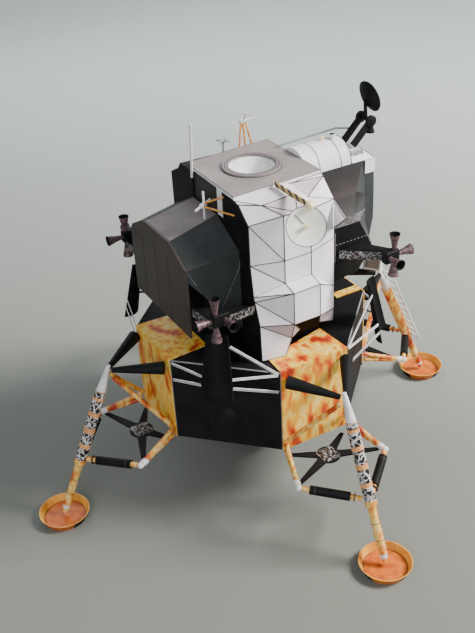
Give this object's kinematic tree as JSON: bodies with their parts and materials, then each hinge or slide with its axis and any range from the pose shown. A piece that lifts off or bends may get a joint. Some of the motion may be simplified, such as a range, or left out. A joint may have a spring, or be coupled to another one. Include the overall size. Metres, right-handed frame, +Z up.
{
  "type": "card scale model of a lunar lander",
  "caption": "Card scale model of a two-stage lunar lander on splayed strut legs, with foil-print descent stage, faceted ascent stage, thruster clusters and tilting antennas.",
  "frame": {"origin": "on the surface it stands on, midway between the foot pads", "axes": "+X to starboard, +Y forward towards the ladder leg, +Z up"},
  "size_m": [0.1964, 0.1964, 0.1449],
  "materials": {
    "black_card": "printed card, satin",
    "brown_card": "printed card, satin",
    "foil_print_card": "printed card, satin",
    "dark_bell_card": "printed card, satin",
    "foil_print_tube": "printed card, satin",
    "white_card": "printed card, satin",
    "copper_print_card": "printed card, satin",
    "black_sleeve_card": "printed card, satin",
    "grey_card": "printed card, satin",
    "thruster_print_card": "printed card, satin",
    "crinkle_print_card": "printed card, satin",
    "striped_card": "printed card, satin",
    "white_wire": "printed card, satin",
    "orange_card": "printed card, satin"
  },
  "bodies": {
    "root": {"stage_body": "black_card", "foil_side_panels": "foil_print_card", "foil_deck_panels": "foil_print_card", "side_boss": "black_card", "engine_bell": "dark_bell_card", "starboard_strut": "foil_print_tube", "forward_strut": "foil_print_tube", "port_strut": "foil_print_tube", "aft_strut": "foil_print_tube", "strut_tips": "white_card", "starboard_pad": "copper_print_card", "forward_pad": "copper_print_card", "port_pad": "copper_print_card", "aft_pad": "copper_print_card", "starboard_braces": "black_sleeve_card", "forward_braces": "black_sleeve_card", "port_braces": "black_sleeve_card", "aft_braces": "black_sleeve_card", "starboard_outriggers": "foil_print_tube", "forward_outriggers": "foil_print_tube", "port_outriggers": "foil_print_tube", "aft_outriggers": "foil_print_tube", "starboard_truss": "foil_print_tube", "forward_truss": "foil_print_tube", "port_truss": "foil_print_tube", "aft_truss": "foil_print_tube", "cross_plates": "black_card", "ladder": "grey_card", "porch": "grey_card", "deflector_forward_starboard": "black_card", "deflector_aft_starboard": "black_card", "deflector_aft_port": "black_card", "deflector_forward_port": "black_card", "deflector_stays": "grey_card", "ascent_core": "black_card", "top_deck": "grey_card", "docking_ring": "white_card", "docking_cone": "white_card", "starboard_fairing": "white_card", "port_fairing": "black_card", "aft_bay": "black_card", "aft_rack": "brown_card", "cabin_body": "black_card", "cabin_roof": "white_card", "cabin_nose": "white_card", "thrusters_forward_starboard": "thruster_print_card", "thrusters_aft_starboard": "thruster_print_card", "thrusters_aft_port": "thruster_print_card", "thrusters_forward_port": "thruster_print_card", "thruster_brackets": "crinkle_print_card", "radar_mount": "black_card", "antenna_boom": "striped_card", "rod_antenna": "white_wire", "cross_antennas": "orange_card", "small_antenna": "white_wire", "wire_rail": "white_wire"},
    "radar": {"radar_dish": "black_card"},
    "steerable_antenna": {"steerable_dish": "white_card"}
  },
  "joints": [
    {"name": "radar_tilt", "type": "hinge", "parent": "root", "child": "radar", "pos_m": [0, 0.0534, 0.1304], "axis": [1, 0, 0], "range_deg": [-40, 60]},
    {"name": "steerable_antenna_turn", "type": "hinge", "parent": "root", "child": "steerable_antenna", "pos_m": [0.04038, 0.0008, 0.1245], "axis": [1, 0, 0], "range_deg": [-60, 90]}
  ]
}
